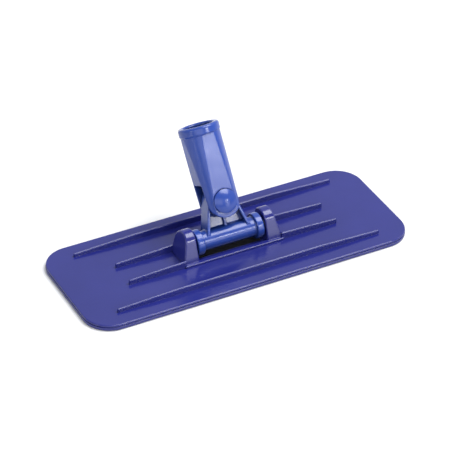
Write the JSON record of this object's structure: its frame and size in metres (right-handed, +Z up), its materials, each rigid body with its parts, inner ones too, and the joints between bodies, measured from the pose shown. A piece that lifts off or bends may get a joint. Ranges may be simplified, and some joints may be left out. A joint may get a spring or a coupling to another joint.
{
  "type": "swivel pad holder",
  "caption": "Ribbed rectangular plate that grips a scrubbing pad, with a tilting yoke between two lugs and a swivelling threaded handle socket.",
  "frame": {"origin": "on the surface the pad holder stands on, under the centre of the plate", "axes": "+X along the plate's length, -Y to the front, +Z up"},
  "size_m": [0.2286, 0.0926, 0.082],
  "materials": {
    "plate_plastic": "semi-gloss moulded polypropylene, violet blue",
    "yoke_plastic": "semi-gloss moulded plastic, a lighter blue",
    "barb_plastic": "stiff moulded barbs, satin",
    "steel": "zinc-plated steel"
  },
  "bodies": {
    "base": {"pad_plate": "plate_plastic", "grip_strip_front": "barb_plastic", "grip_strip_back": "barb_plastic", "hinge_axle": "steel", "axle_plug": "plate_plastic"},
    "yoke": {"swivel_yoke": "yoke_plastic"},
    "socket": {"handle_socket": "yoke_plastic", "pivot_pin": "yoke_plastic", "pivot_cap": "yoke_plastic", "spring_washer": "steel", "pivot_screw": "steel"}
  },
  "joints": [
    {"name": "tilt", "type": "hinge", "parent": "base", "child": "yoke", "pos_m": [0, 0, 0.0128], "axis": [1, 0, 0], "range_deg": [-43, 103]},
    {"name": "swivel", "type": "hinge", "parent": "yoke", "child": "socket", "pos_m": [-0.0007, 0.01115, 0.03211], "axis": [0, -0.866, 0.5], "range_deg": [-72.5, 67.5]}
  ]
}
